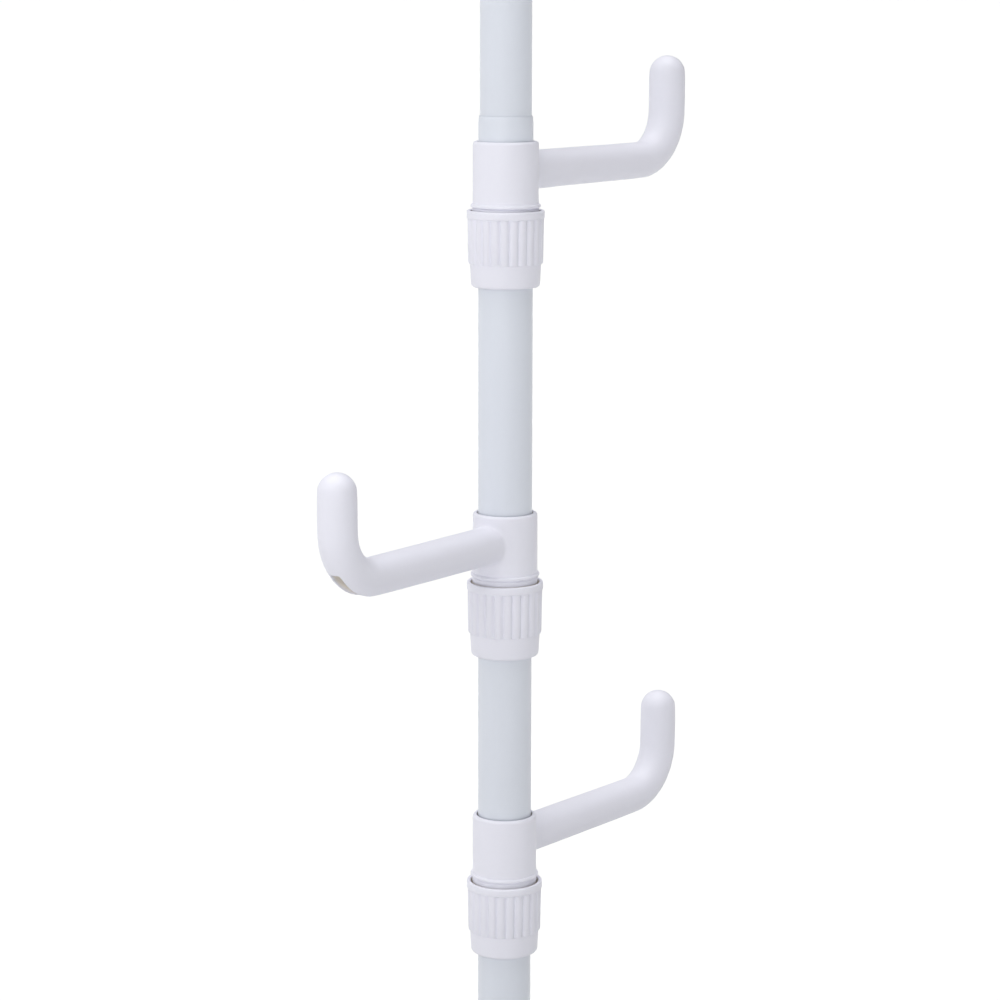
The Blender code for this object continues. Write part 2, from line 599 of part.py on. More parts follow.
def lock_nut_mesh():
    """Ribbed nut: smooth rim above, ribs, smooth skirt below, and a taper inside to close the grip ring."""
    body = turned_mesh("nut_body", outline(
        (0, 0), (NUT_RIM_RADIUS, 0, NUT_RIM_ROUND, 2), (NUT_RIM_RADIUS, -NUT_RIM_BAND),
        (NUT_SKIRT_TOP_RADIUS, -NUT_RIM_BAND),
        (NUT_SKIRT_RADIUS, -NUT_HEIGHT, NUT_BOTTOM_ROUND, 2), (0, -NUT_HEIGHT),
    ))
    ribs = ribbed_mesh("nut_ribs", -RIB_BOTTOM, RIB_BOTTOM_RADIUS, -RIB_TOP, RIB_TOP_RADIUS)
    grip_top = GRIP_TOP - BEAD_TOP - BEAD_THICKNESS - min(NUT_GAPS)
    slope = GRIP_TAPER / (GRIP_HEIGHT - GRIP_LAND)
    taper_top = grip_top + GRIP_LAND
    taper_foot = NUT_HEIGHT - NUT_FLOOR
    taper_top_radius = GRIP_RADIUS + NUT_TAPER_GAP
    taper_foot_radius = taper_top_radius - slope * (taper_foot - taper_top)
    cutter = turned_mesh("nut_bore", outline(
        (0, CUT_OVERRUN), (NUT_MOUTH_RADIUS, CUT_OVERRUN), (NUT_MOUTH_RADIUS, -NUT_MOUTH_DEPTH),
        (NUT_THREAD_RADIUS, -NUT_MOUTH_DEPTH), (NUT_THREAD_RADIUS, -taper_top),
        (taper_top_radius, -taper_top), (taper_foot_radius, -taper_foot), (NUT_BORE, -taper_foot),
        (NUT_BORE, -NUT_HEIGHT - CUT_OVERRUN), (0, -NUT_HEIGHT - CUT_OVERRUN),
    ), INNER_SIDES)
    return combined_mesh("lock_nut", body, ("UNION", ribs), ("DIFFERENCE", cutter))


def add_hooks(pole):
    hook = hook_mesh()
    grip = grip_ring_mesh()
    nut = lock_nut_mesh()
    places = zip(HOOK_DROPS, HOOK_TURNS, NUT_GAPS, NUT_TURNS)
    for number, (drop, turn, nut_gap, nut_turn) in enumerate(places, start=1):
        unit = axis_empty(f"hook_axis_{number}", OUTER_TUBE_END - drop, turn, pole)
        add_piece(f"hook_{number}", hook, "white_plastic", unit)
        add_piece(f"grip_ring_{number}", grip, "grey_plastic", unit, -GRIP_TOP)
        nut_rim = -BEAD_TOP - BEAD_THICKNESS - nut_gap
        add_piece(f"lock_nut_{number}", nut, "white_plastic", unit, nut_rim, turn=nut_turn)


def main():
    clear_scene()
    pole = axis_empty("pole_axis")
    add_foot(pole)
    add_outer_pole(pole)
    add_upper_pole(pole)
    add_hooks(pole)


main()
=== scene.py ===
# %% [markdown]
# # A coat stand braced between floor and ceiling
# The stand is a pole of painted steel tubes, the top one sliding in those below, with three
# moulded hooks clamped on to it. The imported model is loaded first and stays as a fixed
# frame: it says where every piece is and how it moves. The box round it is kept.

import math

import bmesh
import bpy
from mathutils import Matrix, Vector


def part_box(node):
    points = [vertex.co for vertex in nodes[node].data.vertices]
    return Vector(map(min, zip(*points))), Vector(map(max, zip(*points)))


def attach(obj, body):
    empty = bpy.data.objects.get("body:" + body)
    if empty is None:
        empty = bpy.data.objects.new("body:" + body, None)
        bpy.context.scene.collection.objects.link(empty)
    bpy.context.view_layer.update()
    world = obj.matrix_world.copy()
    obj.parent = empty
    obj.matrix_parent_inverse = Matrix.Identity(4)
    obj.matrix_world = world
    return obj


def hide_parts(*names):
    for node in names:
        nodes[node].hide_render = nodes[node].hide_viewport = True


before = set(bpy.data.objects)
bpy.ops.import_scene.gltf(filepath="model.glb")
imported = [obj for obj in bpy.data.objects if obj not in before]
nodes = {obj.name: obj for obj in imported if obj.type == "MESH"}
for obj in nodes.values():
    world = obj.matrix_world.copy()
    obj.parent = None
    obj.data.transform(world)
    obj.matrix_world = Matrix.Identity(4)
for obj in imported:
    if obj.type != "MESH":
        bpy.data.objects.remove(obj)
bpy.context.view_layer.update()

# %% [markdown]
# ## Camera
# The photograph looks down a little at the upper hooks, with a long lens. Every size below
# comes from fitting a camera to the tube's edges, the round rims and the hooks' outlines.
# The camera is set out from the top hook's rim, so that it follows the frame. A Blender
# camera looks along its own -Z, which is why the view direction is turned into a rotation
# with to_track_quat.

# %% Camera
LENS = 105.396
SENSOR_WIDTH = 36.0
FARTHEST_SEEN = 1000.0
CAMERA_DISTANCE = 1.494668
CAMERA_ABOVE_RIM = 0.087201
CAMERA_AZIMUTH = math.radians(-50.943)
CAMERA_PITCH = math.radians(10.332)
CAMERA_YAW = math.radians(0.102)
CAMERA_ROLL = math.radians(0.095)
RIM_BELOW_TUBE_END = 0.01275

top_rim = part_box("middle_tube")[1].z - RIM_BELOW_TUBE_END
to_camera = Vector((math.sin(CAMERA_AZIMUTH), -math.cos(CAMERA_AZIMUTH), 0))
to_left = Vector((-math.cos(CAMERA_AZIMUTH), -math.sin(CAMERA_AZIMUTH), 0))
look = -to_camera * math.cos(CAMERA_PITCH) - Vector((0, 0, math.sin(CAMERA_PITCH)))

camera_data = bpy.data.cameras.new("camera")
camera_data.sensor_width = SENSOR_WIDTH
camera_data.lens = LENS
camera_data.clip_end = FARTHEST_SEEN
camera = bpy.data.objects.new("camera", camera_data)
bpy.context.scene.collection.objects.link(camera)
turned = Matrix.Rotation(CAMERA_YAW, 4, "Z") @ look.to_track_quat("-Z", "Y").to_matrix().to_4x4()
camera.matrix_world = (
    Matrix.Translation(to_camera * CAMERA_DISTANCE + Vector((0, 0, top_rim + CAMERA_ABOVE_RIM)))
    @ turned
    @ Matrix.Rotation(CAMERA_ROLL, 4, "Z")
)
bpy.context.scene.camera = camera
print("camera:", round(camera.location.z, 3), "m above the floor, lens", LENS, "mm")

# %% [markdown]
# ## Shader sums in Python
# A procedural finish is a lot of small sums, and drawing them as nodes hides what they say.
# This class wraps a node's output, so that an ordinary expression adds the Math nodes. The
# reflected forms let a plain number stand on the left, as in 1 - mask. Everything else, a
# noise, a ramp or a bump, comes from one method that takes the node's type, its settings
# and what goes into its sockets.

# %% Wires and finishes
BLACK = (0.0, 0.0, 0.0, 1)
WHITE = (1.0, 1.0, 1.0, 1)


class Wire:
    """A node's output that can be used in sums."""

    def __init__(self, finish, socket):
        self.finish = finish
        self.socket = socket

    def sum(self, operation, first, second):
        return self.finish.add("ShaderNodeMath", {"operation": operation}, {0: first, 1: second})

    def __add__(self, other):
        return self.sum("ADD", self, other)

    def __sub__(self, other):
        return self.sum("SUBTRACT", self, other)

    def __rsub__(self, other):
        return self.sum("SUBTRACT", other, self)

    def __mul__(self, other):
        return self.sum("MULTIPLY", self, other)

    __radd__ = __add__
    __rmul__ = __mul__


class Layout:
    """A node tree that is being laid out."""

    def __init__(self, tree):
        self.tree = tree

    def add(self, kind, settings, inputs, output=0):
        node = self.tree.nodes.new(kind)
        for name, value in settings.items():
            if name == "stops":
                for stop, (place, colour) in zip(node.color_ramp.elements, value):
                    stop.position = place
                    stop.color = colour
            else:
                setattr(node, name, value)
        for name, value in inputs.items():
            self.feed(node.inputs[name], value)
        return Wire(self, node.outputs[output])

    def feed(self, socket, value):
        if isinstance(value, Wire):
            self.tree.links.new(value.socket, socket)
        else:
            socket.default_value = value

    def place(self, stretch=(1, 1, 1)):
        """Object coordinates, stretched."""
        where = self.add("ShaderNodeTexCoord", {}, {}, "Object")
        return self.add("ShaderNodeMapping", {}, {"Vector": where, "Scale": stretch})

    def noise(self, per_metre, detail=2.0, stretch=(1, 1, 1)):
        """Soft noise with so many blots in a metre."""
        inputs = {"Vector": self.place(stretch), "Scale": per_metre, "Detail": detail}
        return self.add("ShaderNodeTexNoise", {}, inputs)

    def between(self, share, low, high):
        """A steep step of a value from low to high, as a mask from 0 to 1."""
        stops = {"stops": ((low, BLACK), (high, WHITE))}
        return self.add("ShaderNodeValToRGB", stops, {"Fac": share})

    def mix(self, share, first, second):
        """A blend of two colours, which a Mix node takes at sockets 6 and 7 and gives at 2."""
        inputs = {0: share, 6: first, 7: second}
        return self.add("ShaderNodeMix", {"data_type": "RGBA"}, inputs, 2)


class Finish(Layout):
    """A material, with some of its shader's values set as constants."""

    def __init__(self, name, **constants):
        self.material = bpy.data.materials.new(name)
        self.material.use_nodes = True
        super().__init__(self.material.node_tree)
        self.shader = self.tree.nodes["Principled BSDF"]
        for socket, value in constants.items():
            self.shader.inputs[socket.replace("_", " ")].default_value = value

    def wear(self, colour, roughness, height, relief):
        """Feed the shader: colour, roughness and a bump of a relief in metres."""
        bump = self.add("ShaderNodeBump", {}, {"Height": height, "Distance": relief})
        self.feed(self.shader.inputs["Base Color"], colour)
        self.feed(self.shader.inputs["Roughness"], roughness)
        self.feed(self.shader.inputs["Normal"], bump)
        return self.material


print("shader sums ready")

# %% [markdown]
# ## Floor and light
# The photograph is a cut-out on white, and its shadows are faint: light comes from all round,
# a little more from the left and from above. So the room itself is bright, brighter to the
# left, the ceiling sends down a wide soft light, and one large lamp beside the camera, above
# the top hook, lets the tones fade a little on the way down the pole. The floor is so wide
# that it fills the background up to the picture's top edge. Far off it is white and glows
# faintly, as an overexposed background does. Round the pole it is a tone darker, or it would
# light the arms from below more than the real one did.

# %% Floor and light
FLOOR_WIDTH = 700.0
FLOOR_RANGE = 10.0
DIM_REACH = 1.2
PALE_REACH = 3.2
DIM_TONE = (0.55, 0.55, 0.55, 1)
PALE_TONE = (0.98, 0.98, 0.98, 1)
FAR_GLOW = (0.14, 0.14, 0.14, 1)
SCUFF_TONE = (0.9, 0.9, 0.9, 1)
SCUFF_SHARE = 0.06
CHALK_ROUGHNESS = 0.9
ROOM_LIGHT = 0.37
LEFT_SIDE = 0.20
CEILING_LIGHT = 1.8
CEILING_SPREAD = math.radians(60)
LAMP_POWER = 5.6
LAMP_SIZE = 1.2
LAMP_LEFT = 0.45
LAMP_FRONT = 1.25
LAMP_ABOVE_RIM = 0.45

bpy.ops.object.select_all(action="DESELECT")
bpy.ops.mesh.primitive_plane_add(size=FLOOR_WIDTH)
floor = bpy.context.active_object
floor.name = "floor"
chalk = Finish("floor_chalk", Roughness=CHALK_ROUGHNESS, Emission_Strength=1.0)
where = chalk.add("ShaderNodeTexCoord", {}, {}, "Object")
away = chalk.add("ShaderNodeVectorMath", {"operation": "LENGTH"}, {0: where}, "Value")
pale = chalk.between(away * (1 / FLOOR_RANGE), DIM_REACH / FLOOR_RANGE, PALE_REACH / FLOOR_RANGE)
tone = chalk.mix(pale, DIM_TONE, PALE_TONE)
scuff = chalk.noise(per_metre=0.8, detail=3.0)
chalk.feed(chalk.shader.inputs["Base Color"], chalk.mix(SCUFF_SHARE * scuff, tone, SCUFF_TONE))
chalk.feed(chalk.shader.inputs["Emission Color"], chalk.mix(pale, BLACK, FAR_GLOW))
floor.data.materials.append(chalk.material)

ceiling_data = bpy.data.lights.new("ceiling_light", "SUN")
ceiling_data.energy = CEILING_LIGHT
ceiling_data.angle = CEILING_SPREAD
ceiling_light = bpy.data.objects.new("ceiling_light", ceiling_data)
bpy.context.scene.collection.objects.link(ceiling_light)

lamp_data = bpy.data.lights.new("lamp", "AREA")
lamp_data.energy = LAMP_POWER
lamp_data.size = LAMP_SIZE
lamp = bpy.data.objects.new("lamp", lamp_data)
bpy.context.scene.collection.objects.link(lamp)
lamp.visible_camera = False
rim_centre = Vector((0, 0, top_rim))
lamp.location = (rim_centre + to_left * LAMP_LEFT + to_camera * LAMP_FRONT
                 + Vector((0, 0, LAMP_ABOVE_RIM)))
lamp.rotation_euler = (rim_centre - lamp.location).to_track_quat("-Z", "Y").to_euler()

world = bpy.data.worlds.new("room")
world.use_nodes = True
room = Layout(world.node_tree)
background = room.tree.nodes["Background"]
background.inputs["Color"].default_value = WHITE
direction = room.add("ShaderNodeTexCoord", {}, {}, "Generated")
leftward = room.add("ShaderNodeVectorMath", {"operation": "DOT_PRODUCT"},
                    {0: direction, 1: to_left}, "Value")
room.feed(background.inputs["Strength"], ROOM_LIGHT + LEFT_SIDE * leftward)
bpy.context.scene.world = world
bpy.context.scene.view_settings.view_transform = "Standard"
print("floor and light set")

# %% [markdown]
# ## Painted steel
# The tubes are steel with a baked cool-white paint, glossier and a little bluer than the
# plastic. Sprayed paint never dries flat: it keeps a soft orange-peel a few millimetres
# across. The tubes are also handled and slid into each other, so faint long streaks run
# along them. Noise stretched along Z makes the streaks, and plain noise the peel.

# %% Tube paint
COOL_WHITE = (0.73, 0.767, 0.845, 1)
WORN_WHITE = (0.755, 0.787, 0.86, 1)
PAINT_ROUGHNESS = 0.30
CLOUD_ROUGHNESS = 0.08
STREAK_ROUGHNESS = 0.10
PEEL_RELIEF = 0.00006
STREAK_HEIGHT = 0.3

paint = Finish("baked_paint", Coat_Roughness=0.12, Coat_Weight=0.15)
cloud = paint.noise(per_metre=6.0, detail=3.0)
streak = paint.noise(per_metre=260.0, stretch=(1, 1, 0.012))
peel = paint.noise(per_metre=420.0)
colour = paint.mix(cloud, COOL_WHITE, WORN_WHITE)
roughness = PAINT_ROUGHNESS + CLOUD_ROUGHNESS * cloud + STREAK_ROUGHNESS * streak
FINISHES = {"tube_paint": paint.wear(colour, roughness, peel + STREAK_HEIGHT * streak, PEEL_RELIEF)}
print("tube paint:", len(paint.tree.nodes), "nodes")

# %% [markdown]
# ## Moulded plastic
# Hooks, nuts, foot and ceiling cup are moulded in one white plastic. The mould is spark
# eroded, which leaves a fine even grain, well under half a millimetre, and a dull surface.
# Colour changes only slightly. The core slot and the narrow gaps round neck and tube turn a
# warmer, darker tone: partly a film of dust that no hand or cloth reaches, partly painted shade.
# The mesh says where, with a point attribute. Grey plastic and rubber are made the same way.

# %% White, grey and rubber mouldings
CLOUD_SHARE = 0.7
SPECKLE_SHARE = 0.3
GRIT_ROUGHNESS = 0.12
HAZE_ROUGHNESS = 0.06


def moulding(name, light, dark, dust_and_shade_tone, roughness, grain):
    """A plastic or rubber between two tones, with dust and painted shade, a roughness and a grain in
    metres.
    """
    plastic = Finish(name)
    cloud = plastic.noise(per_metre=22.0, detail=3.0)
    grit = plastic.noise(per_metre=2600.0)
    speckle = plastic.noise(per_metre=700.0, detail=1.0)
    # The marked recesses turn to the third tone: partly dust, partly painted shade.
    dust_and_shade = plastic.add("ShaderNodeAttribute", {"attribute_name": "dust_and_shade"}, {}, "Fac")
    clean = plastic.mix(CLOUD_SHARE * cloud + SPECKLE_SHARE * speckle, dark, light)
    colour = plastic.mix(dust_and_shade, clean, dust_and_shade_tone)
    dullness = roughness + GRIT_ROUGHNESS * grit + HAZE_ROUGHNESS * cloud
    return plastic.wear(colour, dullness, grit, grain)


# Each third tone is the dust and painted shade of the marked recesses.
FINISHES["white_plastic"] = moulding(
    "moulded_white", light=(0.86, 0.86, 0.945, 1), dark=(0.83, 0.83, 0.915, 1),
    dust_and_shade_tone=(0.88, 0.83, 0.76, 1), roughness=0.34, grain=0.00004)
FINISHES["grey_plastic"] = moulding(
    "moulded_grey", light=(0.44, 0.45, 0.47, 1), dark=(0.38, 0.39, 0.41, 1),
    dust_and_shade_tone=(0.30, 0.29, 0.27, 1), roughness=0.50, grain=0.00004)
FINISHES["pad_rubber"] = moulding(
    "soft_rubber", light=(0.64, 0.64, 0.62, 1), dark=(0.56, 0.56, 0.55, 1),
    dust_and_shade_tone=(0.40, 0.38, 0.35, 1), roughness=0.72, grain=0.00009)
print("mouldings:", [FINISHES[name].name for name in ("white_plastic", "grey_plastic", "pad_rubber")])

# %% [markdown]
# ## Zinc plate
# The jack screw and the little cam screw are bright zinc on steel. Plating is a clear metal
# with a slight change of tint from bath to bath, and turning leaves fine rings, so the
# noise is squeezed along Z.

# %% Zinc plate
BLUE_ZINC = (0.62, 0.63, 0.66, 1)
YELLOW_ZINC = (0.72, 0.71, 0.66, 1)
ZINC_ROUGHNESS = 0.24
RING_ROUGHNESS = 0.12
BATH_ROUGHNESS = 0.08
TURNING_RELIEF = 0.00003

zinc = Finish("bright_zinc", Metallic=1.0)
bath = zinc.noise(per_metre=60.0, detail=3.0)
rings = zinc.noise(per_metre=500.0, stretch=(0.15, 0.15, 4.0))
colour = zinc.mix(bath, BLUE_ZINC, YELLOW_ZINC)
roughness = ZINC_ROUGHNESS + RING_ROUGHNESS * rings + BATH_ROUGHNESS * bath
FINISHES["zinc_steel"] = zinc.wear(colour, roughness, rings, TURNING_RELIEF)
print("finishes:", ", ".join(FINISHES))

# %% [markdown]
# ## Turning, the way a lathe would
# Most pieces are round, so they are drawn as rings: a circle is added, then extruded and
# scaled step by step along a profile of radius and height. That is how it would be done by
# hand, and it keeps clean rows of quads that take a bevel well. Operators act on whatever
# is selected, and the loaded frame is selected, so everything is let go first.

# %% Tools for round pieces
MM = 0.001
NEAR = 0.02 * MM


def add_ring(name, sides, radius, height):
    """A circle round the pole's axis, open in edit mode."""
    bpy.ops.object.select_all(action="DESELECT")
    bpy.ops.mesh.primitive_circle_add(vertices=sides, radius=radius, location=(0, 0, height))
    bpy.ops.object.transform_apply(location=True, rotation=False, scale=False)
    piece = bpy.context.active_object
    piece.name = name
    piece.data.name = name
    bpy.ops.object.mode_set(mode="EDIT")
    return piece


def draw_rings(path):
    """Extrude the selected ring, which stands at the first (radius, height), through the rest."""
    for (radius, height), (next_radius, next_height) in zip(path, path[1:]):
        bpy.ops.mesh.extrude_region_move(
            TRANSFORM_OT_translate={"value": (0, 0, next_height - height)})
        share = next_radius / radius
        bpy.ops.transform.resize(value=(share, share, 1), center_override=(0, 0, next_height))


def choose(piece, kind, wanted):
    """Select, in edit mode, just the vertices, edges or faces that are wanted."""
    shape = bmesh.from_edit_mesh(piece.data)
    picked = [element for element in getattr(shape, kind) if wanted(element)]
    bpy.ops.mesh.select_mode(type={"verts": "VERT", "edges": "EDGE", "faces": "FACE"}[kind])
    bpy.ops.mesh.select_all(action="DESELECT")
    for element in picked:
        element.select = True
    shape.select_flush_mode()
    bmesh.update_edit_mesh(piece.data)


def sweep(start, end, steps):
    """Corners of a profile on a parabola that leaves the first one along the axis."""
    shares = [step / steps for step in range(steps + 1)]
    return [(start[0] + (end[0] - start[0]) * share ** 2, start[1] + (end[1] - start[1]) * share)
            for share in shares]


def arc(centre, radius, start, end, steps):
    """Corners of a profile on an arc between two angles in degrees, 0 being outwards and 90 up."""
    turns = [math.radians(start + (end - start) * step / steps) for step in range(steps + 1)]
    return [(centre[0] + radius * math.cos(turn), centre[1] + radius * math.sin(turn)) for turn in turns]


def at_corner(vert, radius, height):
    """Whether a vertex lies on the ring at a (radius, height) corner."""
    reach = math.hypot(vert.co.x, vert.co.y)
    return abs(reach - radius) < NEAR and abs(vert.co.z - height) < NEAR


def soften(piece, width, segments, *corners):
    """Round the ring edges that run through the given (radius, height) corners."""
    choose(piece, "edges", lambda edge: any(
        all(at_corner(vert, *corner) for vert in edge.verts) for corner in corners))
    bpy.ops.mesh.bevel(offset=width, segments=segments, affect="EDGES")


def open_edges(piece):
    """Select the edges that belong to one face only."""
    choose(piece, "edges", lambda edge: edge.is_boundary)


def close_tube(piece):
    """Join the first and the last ring of a piece with a hole through it."""
    open_edges(piece)
    bpy.ops.mesh.bridge_edge_loops()


def close_ends(piece):
    """Put a face on each open ring of a piece that is solid at its axis."""
    open_edges(piece)
    bpy.ops.mesh.fill_holes(sides=0)


def finish_piece(piece, finish, body, replaced, sharp=35):
    """Turn the faces outwards, smooth them, and set finish, body and the replaced node."""
    bpy.ops.object.mode_set(mode="EDIT")
    bpy.ops.mesh.select_all(action="SELECT")
    bpy.ops.mesh.normals_make_consistent(inside=False)
    bpy.ops.object.mode_set(mode="OBJECT")
    bpy.ops.object.select_all(action="DESELECT")
    piece.select_set(True)
    bpy.context.view_layer.objects.active = piece
    bpy.ops.object.shade_smooth_by_angle(angle=math.radians(sharp))
    piece.data.materials.clear()
    piece.data.materials.append(FINISHES[finish])
    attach(piece, body)
    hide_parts(replaced)
    print(piece.name, "faces:", len(piece.data.polygons))
    return piece


print("tools for round pieces ready")

# %% [markdown]
# ## The tubes
# Each tube is a ring drawn up the outside, over the end and back down the bore. The cut
# ends are deburred, so their edges get a fine round that catches the light. The outer pole's
# top end is drawn in a little as well: it closes on the inner tube with hardly a step, just
# above the top hook. A parabola of a few rings gives that nose.

# %% Tubes
TUBE_SIDES = 96
TUBE_WALL = 0.6 * MM
DEBURR = 0.09 * MM
NOSE_LENGTH = 4.0 * MM
NOSE_STEPS = 3
NOSE_DRAWN_IN = 0.4 * MM


def make_tube(node, body, drawn_in=0.0):
    """A tube in a node's place, with its top end drawn in."""
    low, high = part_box(node)
    outer = high.x
    bore = outer - TUBE_WALL
    nose = sweep((outer, high.z - NOSE_LENGTH), (outer - drawn_in, high.z), NOSE_STEPS)
    foot, bore_top, bore_foot = (outer, low.z), (bore, high.z), (bore, low.z)
    piece = add_ring(f"{node}_painted", TUBE_SIDES, *foot)
    draw_rings([foot, *nose, bore_top, bore_foot])
    close_tube(piece)
    soften(piece, DEBURR, 2, foot, nose[-1], bore_top, bore_foot)
    return finish_piece(piece, "tube_paint", body, node)


make_tube("lower_tube", "pole")
make_tube("middle_tube", "pole", drawn_in=NOSE_DRAWN_IN)
make_tube("upper_tube", "upper_pole")

# %% [markdown]
# ## The joint between the two outer tubes
# A grey moulded spigot with a thin flange holds the two outer tubes in line. Only the
# flange shows, as a fine dark ring half way up the pole.

# %% Tube joint
SPIGOT_RADIUS = 13.1 * MM
LEAD_IN = 1.5 * MM
FLANGE_HALF = 1.0 * MM
FLANGE_ROUND = 0.3 * MM

low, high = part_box("tube_joint")
middle = (low.z + high.z) / 2
flange_foot = (high.x, middle - FLANGE_HALF)
flange_top = (high.x, middle + FLANGE_HALF)
corners = (
    (SPIGOT_RADIUS - LEAD_IN, low.z), (SPIGOT_RADIUS, low.z + LEAD_IN),
    (SPIGOT_RADIUS, flange_foot[1]), flange_foot, flange_top, (SPIGOT_RADIUS, flange_top[1]),
    (SPIGOT_RADIUS, high.z - LEAD_IN), (SPIGOT_RADIUS - LEAD_IN, high.z),
)
joint = add_ring("tube_joint_moulded", TUBE_SIDES, *corners[0])
draw_rings(corners)
close_ends(joint)
soften(joint, FLANGE_ROUND, 2, flange_foot, flange_top)
finish_piece(joint, "grey_plastic", "pole", "tube_joint")

# %% [markdown]
# ## The hook's collar, rolled from a flat sheet
# Collar and arm are one moulding, with a small even fillet where the arm grows out. Joining
# two cylinders with a boolean leaves a ragged seam there. Instead, the collar's wall is
# drawn as a flat sheet, like a label, with a window for the arm. The window's edge is drawn
# out into the fillet while everything is still flat and easy. Then a Simple Deform modifier
# rolls the sheet into a tube, and the fillet follows the round by itself.

# %% Collar sheet
COLLAR_RADIUS = 16.95 * MM
COLLAR_COLUMNS = 40
SHEET_ROWS = 12
WINDOW_CELLS = 10
ARM_ROOT_RADIUS = 10.05 * MM
ARM_DROP = 15.5 * MM
RIM_ROUND = 1.5 * MM
SHEET_TOP = -RIM_ROUND
SHEET_FOOT = RIM_ROUND - 2 * ARM_DROP
ROOT_FILLET = 1.5 * MM
FILLET_STEPS = 3
cell_width = math.tau * COLLAR_RADIUS / COLLAR_COLUMNS
cell_height = (SHEET_TOP - SHEET_FOOT) / SHEET_ROWS
arm_centre = Vector((0, 0, -ARM_DROP))


def in_window(point):
    """Whether a point of the flat sheet lies in the window or on its edge."""
    return (abs(point.x) < cell_width * WINDOW_CELLS / 2 + NEAR
            and abs(point.z + ARM_DROP) < cell_height * WINDOW_CELLS / 2 + NEAR)


bpy.ops.object.select_all(action="DESELECT")
bpy.ops.mesh.primitive_grid_add(x_subdivisions=COLLAR_COLUMNS, y_subdivisions=SHEET_ROWS, size=1,
                                location=arm_centre, rotation=(math.pi / 2, 0, 0))
hook = bpy.context.active_object
hook.name = "hook_pattern"
hook.scale = (cell_width * COLLAR_COLUMNS, cell_height * SHEET_ROWS, 1)
bpy.ops.object.transform_apply(location=True, rotation=True, scale=True)
bpy.ops.object.mode_set(mode="EDIT")
choose(hook, "faces", lambda face: in_window(face.calc_center_median()))
bpy.ops.mesh.delete(type="FACE")
choose(hook, "edges", lambda edge: edge.is_boundary and all(in_window(vert.co) for vert in edge.verts))
bpy.ops.transform.tosphere(value=1.0)
edge_verts = [vert for vert in bmesh.from_edit_mesh(hook.data).verts if vert.select]
half_width = half_height = (edge_verts[0].co - arm_centre).length
stand_off = 0.0
print("window:", len(edge_verts), "corners, radius", round(half_width / MM, 2), "mm")
for step in range(FILLET_STEPS + 1):
    angle = step / FILLET_STEPS * math.pi / 2
    next_height = ARM_ROOT_RADIUS + ROOT_FILLET * (1 - math.sin(angle))
    next_off = ROOT_FILLET * (1 - math.cos(angle))
    next_width = COLLAR_RADIUS * math.asin(next_height / (COLLAR_RADIUS + next_off))
    if step:
        bpy.ops.mesh.extrude_region_move(TRANSFORM_OT_translate={"value": (0, stand_off - next_off, 0)})
    bpy.ops.transform.resize(value=(next_width / half_width, 1, next_height / half_height),
                             center_override=arm_centre)
    half_width, half_height, stand_off = next_width, next_height, next_off

bpy.ops.object.mode_set(mode="OBJECT")
roll = hook.modifiers.new("roll", "SIMPLE_DEFORM")
roll.deform_method = "BEND"
roll.deform_axis = "Z"
roll.angle = math.tau
bpy.ops.object.modifier_apply(modifier=roll.name)
hook.location.x = COLLAR_RADIUS
hook.rotation_euler.z = math.pi / 2
bpy.ops.object.transform_apply(location=True, rotation=True, scale=False)
bpy.ops.object.mode_set(mode="EDIT")
bpy.ops.mesh.select_all(action="SELECT")
bpy.ops.mesh.remove_doubles(threshold=NEAR)
print("rolled collar:", [round(side / MM, 1) for side in hook.dimensions])

# %% [markdown]
# Rim, bore, bead and neck are drawn on from the sheet's top and bottom rings. The bead is
# the round bright ring under the collar, between a fine crease above it and a fine groove
# below it: it covers the nut's mouth. The plain neck goes on down into the nut, and the tube
# runs through the bore. Rounds are arcs of a few points, which the smoothing further down
# makes even.

# %% Rim, bead and neck
BORE = 14.7 * MM
BORE_ROUND = 0.5 * MM
ROUND_STEPS = 3
FLARE_WIDTH = 0.2 * MM
FLARE_FOOT = -31.1 * MM
FLARE_STEPS = 3
CREASE_HEIGHT = -31.45 * MM
BEAD_AXIS = 17.05 * MM
BEAD_MIDDLE = -32.7 * MM
BEAD_ROUND = 1.05 * MM
BEAD_STEPS = 8
BAND_RADIUS = 17.1 * MM
BAND_TOP = -34.15 * MM
BAND_FOOT = -37.6 * MM
NECK_RADIUS = 16.5 * MM
NECK_MIDDLE = -45.0 * MM
NECK_END = -56.0 * MM
NECK_CHAMFER = 0.4 * MM

rim_and_bore = [
    *arc((COLLAR_RADIUS - RIM_ROUND, -RIM_ROUND), RIM_ROUND, 0, 90, ROUND_STEPS),
    *arc((BORE + BORE_ROUND, -BORE_ROUND), BORE_ROUND, 90, 180, ROUND_STEPS),
    (BORE, NECK_END / 2), (BORE, NECK_END + NECK_CHAMFER), (BORE + NECK_CHAMFER / 2, NECK_END),
]
bead_and_neck = [
    *sweep((COLLAR_RADIUS, SHEET_FOOT), (COLLAR_RADIUS + FLARE_WIDTH, FLARE_FOOT), FLARE_STEPS),
    (COLLAR_RADIUS, CREASE_HEIGHT),
    *arc((BEAD_AXIS, BEAD_MIDDLE), BEAD_ROUND, 90, -90, BEAD_STEPS),
    (NECK_RADIUS, BAND_TOP + NECK_CHAMFER), (BAND_RADIUS, BAND_TOP),
    (BAND_RADIUS, BAND_TOP - BEAD_ROUND), (BAND_RADIUS, BAND_FOOT),
    (NECK_RADIUS, BAND_FOOT - NECK_CHAMFER), (NECK_RADIUS, NECK_MIDDLE),
    (NECK_RADIUS, NECK_END + NECK_CHAMFER), (NECK_RADIUS - NECK_CHAMFER, NECK_END),
]
for path in (rim_and_bore, bead_and_neck):
    choose(hook, "edges", lambda edge: edge.is_boundary and all(
        at_corner(vert, *path[0]) for vert in edge.verts))
    draw_rings(path)
choose(hook, "edges", lambda edge: edge.is_boundary and all(
    abs(vert.co.z - NECK_END) < NEAR for vert in edge.verts))
bpy.ops.mesh.bridge_edge_loops()
